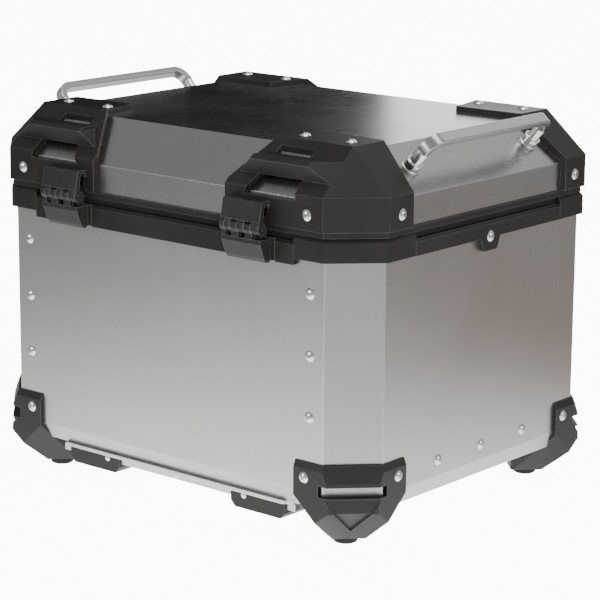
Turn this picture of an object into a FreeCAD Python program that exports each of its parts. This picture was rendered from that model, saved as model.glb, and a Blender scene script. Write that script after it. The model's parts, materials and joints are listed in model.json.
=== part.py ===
"""Aluminium top case with a hinged lid, two draw latches, corner covers and two carry handles.

X runs along the long side, the latches face -Y, the hinges are at +Y and Z points up.
The origin is on the ground, under the middle of the case. All sizes are millimetres.
"""
import FreeCAD, Part
import math
import os
import Sketcher

VECTOR = FreeCAD.Vector
MITRE = 2 - math.sqrt(2)      # growth of a 45 degree corner cut per millimetre of outward offset
ROOT_TWO = math.sqrt(2)
MARGIN = 2.0                  # how far a cutting tool runs past what it cuts

DIMENSIONS = (
    # case body
    ("half_x", 210), ("half_y", 169), ("corner_cut", 34.5), ("sheet_metal", 1.8),
    ("body_low", 34), ("belly_fold", 49.4), ("belly_in_x", 8), ("belly_in_y", 11), ("wall_top", 255),
    ("flange_thick", 1.5), ("flange_width", 24), ("pan_half_y", 80), ("pan_top", 80),
    # rim caps on the upper edge of the walls
    ("rim_out", 4.7), ("rim_in", 6), ("rim_slot", 3.5), ("rim_low", 237.7), ("rim_top", 256.7),
    ("rim_corner_low", 243), ("rim_corner_top", 261.9), ("rim_lip_in", 1.2), ("rim_bevel", 2.5),
    ("rim_split_x", 147), ("rim_split_y", 101.5), ("tab_half", 14), ("tab_foot", 9.5), ("tab_low", 232),
    # lid
    ("lid_grow", 0.8), ("lid_sheet", 1.5), ("lid_low", 267.6), ("lid_fold", 291.5), ("lid_top", 326.1),
    ("lid_inset", 38.9), ("frame_out", 2.5), ("frame_in", 6), ("frame_low", 262.4),
    ("tongue_thick", 3), ("tongue_top", 278), ("seal_low", 257), ("seal_out", -0.6), ("seal_in", -5.4),
    # corner covers of the lid
    ("cover_grow", 5.7), ("cover_low", 267.6), ("cover_fold", 295.7), ("cover_top", 331.5),
    ("cover_inset", 40.2), ("cover_front_x", 75), ("cover_fold_x", 100), ("cover_top_x", 108),
    ("cover_top_y", 92), ("cover_side_y", 107),
    ("window_in", 95), ("window_out", 150), ("window_low", 290), ("window_high", 305),
    ("hood_in", 97), ("hood_foot_in", 82), ("hood_foot_out", 180), ("hood_nose_y", 169.5), ("hood_lip", 3),
    ("hood_round", 5),
    ("hood_under", 14), ("hood_depth", 22), ("hood_root", 26),
    ("hood_top", 320.5), ("inlay_in", 106), ("inlay_out", 142), ("inlay_y_in", 141), ("inlay_y_out", 150),
    ("inlay_thick", 3.4), ("inlay_room", 20), ("window_slant_in", 8), ("window_slant_out", 2),
    ("window_depth", 25),
    # fasteners
    ("rivet_head", 4.8), ("rivet_rise", 2.4), ("rivet_shank", 2), ("rivet_reach", 5),
    ("screw_reach", 9), ("small_head", 3), ("small_rise", 1.5), ("drill_gap", 0.05),
    ("panel_rivet_x", 161), ("panel_rivet_low", 113.5), ("panel_rivet_step", 51),
    ("pan_rivet_y", 60), ("pan_rivet_z", 63), ("tab_rivet_z", 244),
    ("cover_rivet_x", 161.4), ("cover_rivet_y", 121), ("cover_rivet_z", 280),
    ("top_screw_in", 112.6), ("top_screw_out", 160.6), ("top_screw_y", 119),
    # corner protectors, base and feet
    ("guard_out", 3.5), ("guard_top", 76.5), ("guard_x", 147.5), ("guard_y", 107.6),
    ("guard_wing_low", 47.5), ("guard_low", 6), ("guard_bevel", 6), ("bevel_land", 1),
    ("guard_top_out", 2.4),
    ("guard_shoulder_out", 7.5), ("guard_shoulder_z", 62), ("guard_knee_out", 9), ("guard_knee_z", 37),
    ("guard_tip_in", 22), ("guard_tip_half", 14), ("guard_back", 50),
    ("guard_slot_low", 50), ("guard_slot_high", 59), ("guard_recess", 2.5), ("guard_rib", 10),
    ("guard_rivet_x", 158.5), ("guard_rivet_y", 118), ("guard_rivet_z", 63.4),
    ("foot_x", 167), ("foot_y", 128), ("foot_radius", 10.5), ("foot_edge", 1.5),
    ("tray_x", 140), ("tray_y", 161), ("tray_edge_low", 31), ("tray_low", 24), ("tray_corner", 14),
    ("tray_rail", 20), ("tray_sheet", 2), ("boss_radius", 10),
    ("tray_step_x", 5), ("tray_step_y", 6), ("tray_lean_z", 24.6), ("tray_lean", 3),
    ("shoe_x", 95.6), ("shoe_half_x", 30), ("shoe_depth", 44), ("shoe_low", 16), ("shoe_lip", 2),
    ("shoe_corner", 5), ("bolt_x", 60), ("bolt_y", 50), ("bolt_hole", 3.25),
    ("tray_screw_x", 80), ("tray_screw_z", 27.8),
    # draw latches
    ("latch_x", 103.4), ("latch_half", 20.7), ("pocket_half", 24.8), ("pocket_floor", 2.2),
    ("plate_out", 4.4), ("plate_half", 24), ("plate_low", 238.5), ("plate_top", 256.5),
    ("ear_in", 8.3), ("ear_out", 14), ("ear_radius", 3.4), ("pivot_out", 6.2), ("pivot_z", 263),
    ("barrel_out", 15.9), ("barrel_z", 264.7), ("barrel_radius", 4.8), ("pin_radius", 1.5),
    ("pin_gap", 0.05), ("hub_half", 7.8), ("knuckle_gap", 0.15), ("lever_face", 18.3),
    ("lever_back", 5.3), ("lever_low", 237), ("lever_top", 256), ("lever_wall", 3.7),
    ("hook_top", 286.8), ("hook_tip", 6.2), ("hook_low", 270.2), ("hook_sheet", 3),
    ("keeper_half", 16.8), ("keeper_low", 273), ("keeper_high", 284), ("keeper_floor", 3.2),
    ("plate_rivet_x", 12.5), ("plate_rivet_low", 243.5), ("plate_rivet_high", 251), ("ear_low", 249),
    ("lever_heel", 1.8), ("lever_toe_out", 11), ("lever_chin_out", 13.4), ("lever_chin_z", 240),
    ("lever_brow_z", 252.5), ("hollow_low", 240.5), ("hollow_toe_out", 9.5), ("hollow_out", 14),
    ("knuckle_1", -16.5), ("knuckle_2", -10.2), ("knuckle_3", -2.9), ("knuckle_4", 4.4),
    ("knuckle_5", 11.8), ("web_out", 18), ("web_in", 14), ("bar_low", 260.5), ("bar_high", 265.5),
    ("bar_gap_left", -3.1), ("bar_gap_right", 4.6), ("hook_front", 15.3), ("hook_round", 1),
    ("hook_knee", 19.4), ("hook_back", 15), ("hook_inner", 13), ("hook_lip_low", 281),
    ("hook_lip", 2),
    # hinges
    ("hinge_x", 40), ("hinge_half", 25), ("hinge_z", 264), ("hinge_radius", 4), ("hinge_pin", 2),
    ("hinge_middle", 10), ("leaf_low", 239), ("leaf_top", 288), ("leaf_thick", 2.4),
    ("leaf_rivet_x", 18), ("leaf_rivet_low", 245), ("leaf_rivet_high", 282.5), ("leaf_shoulder", 258),
    ("leaf_web_low", 252), ("leaf_web_foot", 250), ("lid_leaf_low", 269), ("lid_web_low", 270),
    ("lid_web_high", 279), ("knuckle_wrap", 3),
    # handles, in heights above the sloped side of the lid
    ("handle_y", 82), ("handle_rise", 33), ("bar_thick", 6.5), ("bar_wide", 10), ("bar_bend", 12),
    ("leg_low", 20.5), ("ring_radius", 8.5), ("ring_rise", 2.5), ("collar_radius", 7.5),
    ("collar_rise", 9), ("neck_radius", 5.3), ("stud_radius", 3), ("stud_reach", 9),
    ("nut_radius", 6), ("nut_rise", 5),
)


class Dim:
    """A length: its number, and the formula that binds it to the spreadsheet."""

    def __init__(self, number, formula=None):
        self.number = float(number)
        self.formula = formula or f"({self.number!r})"

    def joined(self, sign, other, number):
        return Dim(number, f"({self.formula} {sign} {other.formula})")

    def __add__(self, other):
        return self.joined("+", dim(other), self.number + dim(other).number)

    def __sub__(self, other):
        return self.joined("-", dim(other), self.number - dim(other).number)

    def __mul__(self, other):
        return self.joined("*", dim(other), self.number * dim(other).number)

    def __truediv__(self, other):
        return self.joined("/", dim(other), self.number / dim(other).number)

    def __neg__(self):
        return Dim(-self.number, f"(0 - {self.formula})")

    def __rsub__(self, other):
        return dim(other) - self

    __radd__ = __add__
    __rmul__ = __mul__


def dim(value):
    return value if isinstance(value, Dim) else Dim(value)


def hypotenuse(first, second):
    return Dim(math.hypot(first.number, second.number),
               f"sqrt({first.formula} * {first.formula} + {second.formula} * {second.formula})")


class Sizes:
    """The spreadsheet of driving dimensions, read as attributes."""

    def __init__(self, document, table):
        sheet = document.addObject("Spreadsheet::Sheet", "Sizes")
        for row, (alias, value) in enumerate(table, start=1):
            sheet.set(f"A{row}", alias)
            sheet.set(f"B{row}", str(value))
            sheet.setAlias(f"B{row}", alias)
            setattr(self, alias, Dim(value, f"Sizes.{alias}"))


doc = FreeCAD.newDocument("TopCase")
size = Sizes(doc, DIMENSIONS)
doc.recompute()
nodes = {}


# ---------------------------------------------------------------- building blocks

def place(thing, at, turn=FreeCAD.Rotation()):
    """Give a placement, with its position bound to the sheet."""
    at = [dim(value) for value in at]
    thing.Placement = FreeCAD.Placement(VECTOR(*(value.number for value in at)), turn)
    for axis, value in zip("xyz", at):
        thing.setExpression(f"Placement.Base.{axis}", value.formula)
    return thing


def primitive(kind, name, **lengths):
    piece = doc.addObject(kind, name)
    for key, value in lengths.items():
        piece.setExpression(key, dim(value).formula)
    return piece


def box(name, low, high):
    low = [dim(value) for value in low]
    length, width, height = (dim(top) - bottom for bottom, top in zip(low, high))
    return place(primitive("Part::Box", name, Length=length, Width=width, Height=height), low)


def towards(direction):
    return FreeCAD.Rotation(VECTOR(0, 0, 1), VECTOR(*direction))


def rod(name, start, direction, radius, length):
    """A cylinder that starts at a point and runs in a direction."""
    return place(primitive("Part::Cylinder", name, Radius=radius, Height=length), start, towards(direction))


def fuse(name, pieces):
    joined = doc.addObject("Part::MultiFuse", name)
    joined.Shapes = pieces
    return joined


def cut(name, base, *tools):
    result = doc.addObject("Part::Cut", name)
    result.Base = base
    result.Tool = tools[0] if len(tools) == 1 else group(name + "Tools", tools)
    return result


def common(name, *pieces):
    shared = doc.addObject("Part::MultiCommon", name)
    shared.Shapes = list(pieces)
    return shared


def group(name, pieces):
    compound = doc.addObject("Part::Compound", name)
    compound.Links = list(pieces)
    return compound


def mirrored(name, source, normal):
    copy = doc.addObject("Part::Mirroring", name)
    copy.Source = source
    copy.Normal = VECTOR(*normal)
    return copy


def node(name, thing):
    """Keep a finished piece under the name of its file."""
    thing.Label = name
    nodes[name] = thing
    return thing


PLANES = {"x": "YZ_Plane", "y": "XZ_Plane", "z": "XY_Plane"}


def sketch_on(body, along, level, turn=0.0):
    """A sketch on one of the body's origin planes, lifted and turned about the vertical."""
    plane = next(face for face in body.Origin.OriginFeatures if face.Role == PLANES[along])
    sketch = body.newObject("Sketcher::SketchObject", body.Name + "Sketch")
    sketch.AttachmentSupport = (plane, [""])
    sketch.MapMode = "FlatFace"
    sketch.AttachmentOffset = FreeCAD.Placement(VECTOR(), FreeCAD.Rotation(VECTOR(0, 1, 0), turn))
    angle = math.radians(turn)
    for axis, share in (("x", math.sin(angle)), ("z", math.cos(angle))):
        sketch.setExpression(f"AttachmentOffset.Base.{axis}", (dim(level) * share).formula)
    return sketch


def outline(sketch, points):
    """Add one closed outline whose every corner is bound to the sheet."""
    corners = [(dim(u), dim(v)) for u, v in points]
    spots = [VECTOR(u.number, v.number, 0) for u, v in corners]
    first = sketch.GeometryCount
    count = len(corners)
    for index in range(count):
        sketch.addGeometry(Part.LineSegment(spots[index], spots[(index + 1) % count]), False)
    for index in range(count):
        following = first + (index + 1) % count
        sketch.addConstraint(Sketcher.Constraint("Coincident", first + index, 2, following, 1))
    for index, (u, v) in enumerate(corners, start=first):
        for kind, axis, value in (("DistanceX", -2, u), ("DistanceY", -1, v)):
            if abs(value.number) < 1e-9:
                sketch.addConstraint(Sketcher.Constraint("PointOnObject", index, 1, axis))
                continue
            held = sketch.addConstraint(Sketcher.Constraint(kind, -1, 1, index, 1, value.number))
            sketch.setExpression(f"Constraints[{held}]", value.formula)


def prism(name, along, points, low, high):
    """A padded outline: points are the two other axes in X, Y, Z order."""
    body = doc.addObject("PartDesign::Body", name)
    level = -dim(high) if along == "y" else dim(low)
    sketch = sketch_on(body, along, level)
    outline(sketch, points)
    pad = body.newObject("PartDesign::Pad", name + "Pad")
    pad.Profile = sketch
    pad.setExpression("Length", (dim(high) - low).formula)
    return body


def pocket(body, along, outlines, reach, turn=0.0):
    """Cut outlines right through a body that lies between -reach and +reach."""
    sketch = sketch_on(body, along, reach, turn)
    for points in outlines:
        outline(sketch, points)
    hole = body.newObject("PartDesign::Pocket", body.Name + "Pocket")
    hole.Profile = sketch
    hole.setExpression("Length", (dim(reach) * 2).formula)


# ---------------------------------------------------------------- forms with cut corners

def octagon(grow):
    """The plan of the case, offset outwards by grow."""
    x = size.half_x + grow
    y = size.half_y + grow
    edge = size.corner_cut + dim(grow) * MITRE
    return [(x, edge - y), (x, y - edge), (x - edge, y), (edge - x, y),
            (-x, y - edge), (-x, edge - y), (edge - x, -y), (x - edge, -y)]


def corner_reach(grow):
    """Distance from the middle to a corner facet, for a plan offset by grow."""
    edge = size.corner_cut + dim(grow) * MITRE
    return (size.half_x + size.half_y + dim(grow) * 2 - edge) / ROOT_TWO


class Slope:
    """A sloped face: full radius up to the fold, then narrowing to the tip at the end height."""

    def __init__(self, radius, fold, tip, end):
        self.radius, self.fold, self.tip, self.end = (dim(value) for value in (radius, fold, tip, end))

    def inside(self, wall):
        """The same slope one wall thickness further in."""
        upward = 1 if self.end.number > self.fold.number else -1
        run = self.radius - self.tip
        rise = (self.end - self.fold) * upward
        slant = hypotenuse(run, rise)
        return Slope(self.radius - wall,
                     self.fold - wall * (slant - rise) / run * upward,
                     self.tip - wall * (slant - run) / rise,
                     self.end - wall * upward)

    def waste(self):
        """The outlines outside the slope, on both sides of the middle."""
        beyond = self.end + (MARGIN if self.end.number > self.fold.number else -MARGIN)
        edge = self.radius + MARGIN
        right = [(self.radius, self.fold), (self.tip, self.end), (self.tip, beyond),
                 (edge, beyond), (edge, self.fold)]
        return [right, [(-u, v) for u, v in right]]


def hip_block(name, grow, low, high, side, front, corner=None):
    """An octagonal block whose sides, front and back, and corner facets lean in at one end."""
    body = prism(name, "z", octagon(grow), low, high)
    reach = size.half_x * 2
    pocket(body, "y", side.waste(), reach)
    pocket(body, "x", front.waste(), reach)
    if corner:
        pocket(body, "y", corner.waste(), reach, 45.0)
        pocket(body, "y", corner.waste(), reach, -45.0)
    return body


def octagon_ring(name, outer, inner, low, high):
    return cut(name, prism(name + "Outer", "z", octagon(outer), low, high),
               prism(name + "Inner", "z", octagon(inner), low - MARGIN, high + MARGIN))


def uniform_bevel(name, grow, low, high, bevel):
    """An octagonal block with the same small bevel all round its upper edge."""
    x = size.half_x + grow
    y = size.half_y + grow
    reach = corner_reach(grow)
    return hip_block(name, grow, low, high, Slope(x, high - bevel, x - bevel, high),
                     Slope(y, high - bevel, y - bevel, high),
                     Slope(reach, high - bevel, reach - bevel, high))


# ---------------------------------------------------------------- fasteners

def rivet_form(name, head, rise, shank, reach):
    """A domed rivet on the origin, with its head towards +Z."""
    ball = (head * head + rise * rise) / (rise * 2)
    cap = primitive("Part::Sphere", name + "Cap", Radius=ball)
    cap.setExpression("Angle1", f"asin(({ball.formula} - {rise.formula}) / {ball.formula})")
    place(cap, (0, 0, rise - ball))
    return fuse(name, [cap, rod(name + "Shank", (0, 0, -reach), (0, 0, 1), shank, reach + rise / 2)])


PANEL_RIVET = rivet_form("PanelRivet", size.rivet_head, size.rivet_rise, size.rivet_shank, size.rivet_reach)
LONG_RIVET = rivet_form("LongRivet", size.rivet_head, size.rivet_rise, size.rivet_shank, size.screw_reach)
SMALL_RIVET = rivet_form("SmallRivet", size.small_head, size.small_rise, size.rivet_shank, size.screw_reach)


def fasteners(name, form, places):
    """One node of identical fasteners; places are (position, outward direction)."""
    links = []
    for index, (at, out) in enumerate(places, start=1):
        link = doc.addObject("App::Link", f"{name}_{index}")
        link.LinkedObject = form
        links.append(place(link, at, towards(out)))
    return node(name, group(name, links))


def drills(name, places, radius, depth):
    """Round cutters for the holes of fasteners, running inwards from just outside."""
    cutters = []
    for index, (at, out) in enumerate(places, start=1):
        start = [dim(value) + MARGIN * way for value, way in zip(at, out)]
        inwards = [-way for way in out]
        cutters.append(rod(f"{name}{index}", start, inwards, radius, dim(depth) + MARGIN))
    return group(name, cutters)


FRONT, REAR, RIGHT, LEFT, UP = (0, -1, 0), (0, 1, 0), (1, 0, 0), (-1, 0, 0), (0, 0, 1)
HOLE = size.rivet_shank + size.drill_gap


def both_sides(name, build):
    """Build the right hand piece, then mirror it to the left."""
    right = node("right_" + name, build())
    node("left_" + name, mirrored("left_" + name, right, (1, 0, 0)))


# ---------------------------------------------------------------- case body

def wall_faces(out, x, z):
    """Front and rear positions that stand out from the walls."""
    y = size.half_y + out
    return [((x, -y, z), FRONT), ((x, y, z), REAR)]


panel_rivet_places = []
for sign in (-1, 1):
    for step in range(3):
        height = size.panel_rivet_low + size.panel_rivet_step * step
        panel_rivet_places += wall_faces(0, size.panel_rivet_x * sign, height)
side_rivet_places = []
for step in (-1, 0, 1):
    for sign, out in ((1, RIGHT), (-1, LEFT)):
        side_rivet_places.append(((size.half_x * sign, size.pan_rivet_y * step, size.pan_rivet_z), out))

wall_drills = drills("WallDrills", panel_rivet_places + side_rivet_places, HOLE, size.rivet_reach)
bolt_places = [((size.bolt_x * a, size.bolt_y * b, size.body_low), UP) for a in (-1, 1) for b in (-1, 1)]
bolt_drills = drills("BoltDrills", [((x, y, z + 8), out) for (x, y, z), out in bolt_places],
                     size.bolt_hole, 30)

belly_side = Slope(size.half_x, size.belly_fold, size.half_x - size.belly_in_x, size.body_low)
belly_front = Slope(size.half_y, size.belly_fold, size.half_y - size.belly_in_y, size.body_low)
wall = size.sheet_metal
pan = wall + size.flange_thick
body_outer = hip_block("BodyOuter", 0, size.body_low, size.wall_top, belly_side, belly_front)
body_inner = hip_block("BodyInner", -wall, size.body_low + wall, size.wall_top + MARGIN,
                       belly_side.inside(wall), belly_front.inside(wall))
pan_inner = hip_block("PanInner", -pan, size.body_low + pan, size.wall_top + MARGIN,
                      belly_side.inside(pan), belly_front.inside(pan))
body_shell = cut("BodyShell", body_outer, body_inner)
pan_shell = cut("PanShell", body_inner, pan_inner)

flat_x = size.half_x - size.corner_cut
floor_x = size.half_x - size.belly_in_x
floor_y = size.half_y - size.belly_in_y


def plain_wall(name, sign):
    """The flat front or rear wall with its leaning lower strip, before drilling."""
    near, far = sorted((size.half_y * sign, floor_y * sign), key=lambda value: value.number)
    reach = box(name + "Reach", (-flat_x, near, size.body_low), (flat_x, far, size.wall_top))
    return common(name + "Wall", body_shell, reach)


front_wall = plain_wall("Front", -1)
rear_wall = plain_wall("Rear", 1)


def wall_panel(name, wall_form):
    """The front or rear wall with its rivet holes."""
    return cut(name, wall_form, wall_drills, latch_drills, hinge_drills, guard_drills)


def side_panel():
    """A side wall that wraps both corner facets and has flanges behind the front and rear walls."""
    reach = box("SideReach", (flat_x, -size.half_y, size.body_low),
                (size.half_x, size.half_y, size.wall_top))
    floor_gap = box("FloorGap", (flat_x - 1, -floor_y, size.body_low),
                    (floor_x, floor_y, size.body_low + wall))
    bent = cut("SideBent", common("SideWall", body_shell, reach), floor_gap)
    inner = size.half_y - wall
    flange_from = flat_x - size.flange_width
    flanges = [box(f"Flange{tag}", (flange_from, low, size.belly_fold + 2),
                   (flat_x + 1.5, low + size.flange_thick, size.wall_top - 1))
               for tag, low in (("Front", -inner), ("Rear", inner - size.flange_thick))]
    return cut("right_side_panel", fuse("SideWithFlanges", [bent] + flanges), front_wall, rear_wall,
               wall_drills, tab_drills, guard_drills)


def floor_panel():
    """The floor, with upturned edges riveted to the side walls."""
    plate = common("FloorPlate", body_shell,
                   box("FloorReach", (-floor_x, -floor_y, size.body_low),
                       (floor_x, floor_y, size.body_low + wall)))
    inner_x = size.half_x - wall
    edges = [common(f"PanEdge{tag}", pan_shell,
                    box(f"PanReach{tag}", (low, -size.pan_half_y, size.body_low + wall),
                        (high, size.pan_half_y, size.pan_top)))
             for tag, low, high in (("Right", inner_x - 40, inner_x), ("Left", -inner_x, 40 - inner_x))]
    return cut("floor_panel", fuse("FloorWithEdges", [plate] + edges), bolt_drills, wall_drills)


# rivets that hold the latch bases, hinge leaves, rim tabs and corner protectors
latch_rivet_places = []
for sign in (-1, 1):
    for across, height in ((-size.plate_rivet_x, size.plate_rivet_low),
                           (size.plate_rivet_x, size.plate_rivet_low), (0, size.plate_rivet_high)):
        latch_rivet_places.append(((size.latch_x * sign + across, -(size.half_y + size.plate_out), height),
                                   FRONT))
leaf_back = size.half_y + size.rim_out
hinge_rivet_places = []
lid_leaf_places = []
leaf_face = leaf_back + size.leaf_thick
for sign in (-1, 1):
    for step in (-1, 0, 1):
        x = size.hinge_x * sign + size.leaf_rivet_x * step
        hinge_rivet_places.append(((x, leaf_face, size.leaf_rivet_low), REAR))
        lid_leaf_places.append(((x, leaf_face, size.leaf_rivet_high), REAR))
tab_rivet_places = [((-(size.half_x + size.rim_out), 0, size.tab_rivet_z), LEFT),
                    ((size.half_x + size.rim_out, 0, size.tab_rivet_z), RIGHT)]
guard_rivet_places = []
for sign in (-1, 1):
    guard_rivet_places += wall_faces(size.guard_out, size.guard_rivet_x * sign, size.guard_rivet_z)
    for way in (-1, 1):
        at = ((size.half_x + size.guard_out) * sign, size.guard_rivet_y * way, size.guard_rivet_z)
        guard_rivet_places.append((at, RIGHT if sign > 0 else LEFT))
latch_drills = drills("LatchDrills", latch_rivet_places, HOLE, size.screw_reach)
hinge_drills = drills("HingeDrills", hinge_rivet_places, HOLE, size.screw_reach)
lid_leaf_drills = drills("LidLeafDrills", lid_leaf_places, HOLE, size.screw_reach)
tab_drills = drills("TabDrills", tab_rivet_places, HOLE, size.screw_reach)
guard_drills = drills("GuardDrills", guard_rivet_places, HOLE, size.screw_reach)

node("front_panel", wall_panel("front_panel", front_wall))
node("rear_panel", wall_panel("rear_panel", rear_wall))
both_sides("side_panel", side_panel)
node("floor_panel", floor_panel())
fasteners("panel_rivets", PANEL_RIVET, panel_rivet_places)
fasteners("side_rivets", PANEL_RIVET, side_rivet_places)


# ---------------------------------------------------------------- rim caps

def rim_caps():
    """Plastic channels pushed over the upper edge of the walls, in eight pieces."""
    slot = octagon_ring("RimSlot", 0, -size.rim_slot, size.rim_low - MARGIN, size.wall_top)
    hollow = prism("RimHollow", "z", octagon(-size.rim_in), size.rim_low - MARGIN, size.rim_top + MARGIN)
    middle = cut("RimMiddle", uniform_bevel("RimMiddleBlock", size.rim_out, size.rim_low, size.rim_top,
                                            size.rim_bevel), hollow, slot)
    step = prism("RimStep", "z", octagon(size.rim_lip_in), size.rim_top, size.rim_corner_top + MARGIN)
    corner = cut("RimCorner", uniform_bevel("RimCornerBlock", size.rim_out, size.rim_corner_low,
                                            size.rim_corner_top, size.rim_bevel), hollow, slot, step)
    out_x = size.half_x + size.rim_out
    out_y = size.half_y + size.rim_out
    in_y = size.half_y - size.rim_in
    in_x = size.half_x - size.rim_in
    front = common("RimFrontPart", middle, box("RimFrontReach", (-size.rim_split_x, -out_y, size.rim_low),
                                               (size.rim_split_x, -in_y, size.rim_top)))
    pockets = [box(f"LatchPocket{tag}", (x - size.pocket_half, -out_y - 1, size.rim_low - 1),
                   (x + size.pocket_half, -(size.half_y + size.pocket_floor), size.rim_top + 1))
               for tag, x in (("Left", -size.latch_x), ("Right", size.latch_x))]
    node("front_rim", cut("front_rim", front, *pockets, latch_drills))
    rear = common("RimRearPart", middle, box("RimRearReach", (-size.rim_split_x, in_y, size.rim_low),
                                             (size.rim_split_x, out_y, size.rim_top)))
    node("rear_rim", cut("rear_rim", rear, hinge_drills))

    def side_rim():
        strip = common("RimSidePart", middle,
                       box("RimSideReach", (in_x, -size.rim_split_y, size.rim_corner_low),
                           (out_x, size.rim_split_y, size.rim_top)))
        tab = prism("RimTab", "x", [
            (-size.tab_half, size.rim_corner_low + 1), (-size.tab_foot, size.tab_low + 1),
            (1 - size.tab_foot, size.tab_low), (size.tab_foot - 1, size.tab_low),
            (size.tab_foot, size.tab_low + 1), (size.tab_half, size.rim_corner_low + 1)],
            size.half_x, out_x)
        return cut("right_rim", fuse("RimWithTab", [strip, tab]), tab_drills)

    both_sides("rim", side_rim)
    right_front = common("front_right_rim_corner", corner,
                         box("RimCornerReach", (size.rim_split_x, -out_y, size.rim_corner_low),
                             (out_x, -size.rim_split_y, size.rim_corner_top)))
    four_corners("rim_corner", right_front)


def four_corners(name, front_right):
    """Mirror a front right piece to the other three corners."""
    node("front_right_" + name, front_right)
    front_left = node("front_left_" + name, mirrored("front_left_" + name, front_right, RIGHT))
    node("rear_right_" + name, mirrored("rear_right_" + name, front_right, REAR))
    node("rear_left_" + name, mirrored("rear_left_" + name, front_left, REAR))


rim_caps()
fasteners("rim_rivets", LONG_RIVET, tab_rivet_places)


# ---------------------------------------------------------------- corner protectors, base, feet

DIAGONAL = FreeCAD.Placement(VECTOR(), FreeCAD.Rotation(VECTOR(0, 0, 1), 45))


def guard_profile(name, inset):
    """The side view of the protector on the facet: bevelled top, shoulder, knee, and a lean to the foot."""
    reach = corner_reach(0) - inset
    back = corner_reach(0) - size.guard_back
    offset = (size.half_x - size.half_y) / ROOT_TWO
    body = prism(name, "x", [
        (-(reach + size.guard_top_out), size.guard_top),
        (-(reach + size.guard_shoulder_out), size.guard_shoulder_z),
        (-(reach + size.guard_knee_out), size.guard_knee_z),
        (-(reach - size.guard_tip_in), size.guard_low),
        (-back, size.guard_low), (-back, size.guard_top)], offset - size.guard_back * 2,
        offset + size.guard_back * 2)
    body.Placement = DIAGONAL
    return body


def corner_protector():
    """A moulded corner with two wings, a slot, a sunken triangle, and a claw that leans in to the foot."""
    face_y = size.half_y + size.guard_out
    face_x = size.half_x + size.guard_out
    blank = common("GuardBlank", guard_profile("GuardProfile", 0),
                   box("GuardReach", (size.guard_x, -face_y, size.guard_low),
                       (face_x, -size.guard_y, size.guard_top)))
    offset = (size.half_x - size.half_y) / ROOT_TWO     # where the facet's middle lies along the facet
    half_facet = size.corner_cut / ROOT_TWO
    near = corner_reach(0) - size.guard_back - MARGIN
    far = corner_reach(0) + size.guard_knee_out + MARGIN
    left, right = (size.guard_x - face_y) / ROOT_TWO, (face_x - size.guard_y) / ROOT_TWO
    below = size.guard_low - MARGIN
    claw_waste = facet_prism("GuardClawWaste", [
        (left, size.guard_wing_low), (offset - size.guard_tip_half, size.guard_low), (offset, below),
        (offset + size.guard_tip_half, size.guard_low), (right, size.guard_wing_low),
        (right + MARGIN, size.guard_wing_low), (right + MARGIN, below - MARGIN),
        (left - MARGIN, below - MARGIN), (left - MARGIN, size.guard_wing_low)], near, far)
    bevel_low = size.guard_top - size.guard_bevel
    above = size.guard_top + MARGIN
    front_bevel = prism("GuardFrontBevel", "x", [
        (-face_y, bevel_low), (-size.half_y - size.bevel_land, size.guard_top),
        (-size.half_y - size.bevel_land, above), (-face_y - MARGIN, above), (-face_y - MARGIN, bevel_low)],
        size.guard_x, size.half_x)
    side_bevel = prism("GuardSideBevel", "y", [
        (face_x, bevel_low), (size.half_x + size.bevel_land, size.guard_top),
        (size.half_x + size.bevel_land, above), (face_x + MARGIN, above), (face_x + MARGIN, bevel_low)],
        -size.half_y, -size.guard_y)
    slot = facet_prism("GuardSlot", [
        (offset - half_facet - size.guard_out, size.guard_slot_low),
        (offset + half_facet + size.guard_out, size.guard_slot_low),
        (offset + half_facet + size.guard_out, size.guard_slot_high),
        (offset - half_facet - size.guard_out, size.guard_slot_high)], corner_reach(0) - size.guard_out, far)
    triangle = facet_prism("GuardTriangle", [
        (offset - half_facet, size.guard_slot_low - 1), (offset, size.guard_low + size.guard_rib),
        (offset + half_facet, size.guard_slot_low - 1)], near, far)
    sunken = cut("GuardSunken", triangle, guard_profile("GuardFloor", size.guard_recess))
    return cut("front_right_corner_protector", blank, body_outer, claw_waste, front_bevel, side_bevel, slot,
               sunken, guard_drills)


def facet_prism(name, points, near, far):
    """A block on the front right corner facet: points run along the facet and up, near to far is outward."""
    body = prism(name, "y", points, -dim(far), -dim(near))
    body.Placement = DIAGONAL
    return body


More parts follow.
